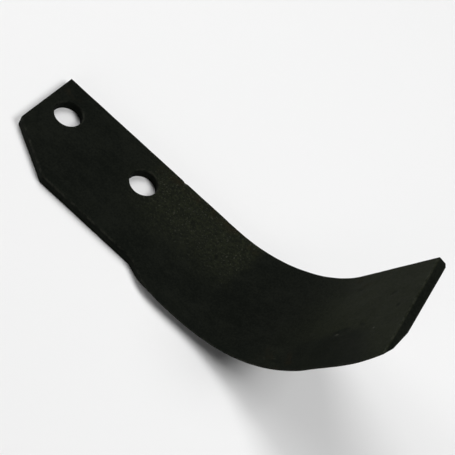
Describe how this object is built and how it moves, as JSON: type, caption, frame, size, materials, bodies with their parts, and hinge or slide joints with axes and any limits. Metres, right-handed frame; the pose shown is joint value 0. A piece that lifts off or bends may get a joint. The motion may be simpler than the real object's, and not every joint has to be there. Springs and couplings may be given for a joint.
{
  "type": "rotary tiller blade",
  "caption": "Flat bar tiller blade with a bolted shank, a drawn-out cutting edge along one side and a wing bent up in a wide curve.",
  "frame": {"origin": "midway between the centres of the bolt holes, on the flat outer face of the shank that seats on the rotor flange", "axes": "+X along the shank towards the wing, +Y towards the straight back edge, +Z square to the shank, to the hollow side of the bend"},
  "size_m": [0.2394, 0.084, 0.1147],
  "materials": {
    "blade_steel": "satin"
  },
  "bodies": {
    "root": {"blade": "blade_steel"}
  },
  "joints": []
}
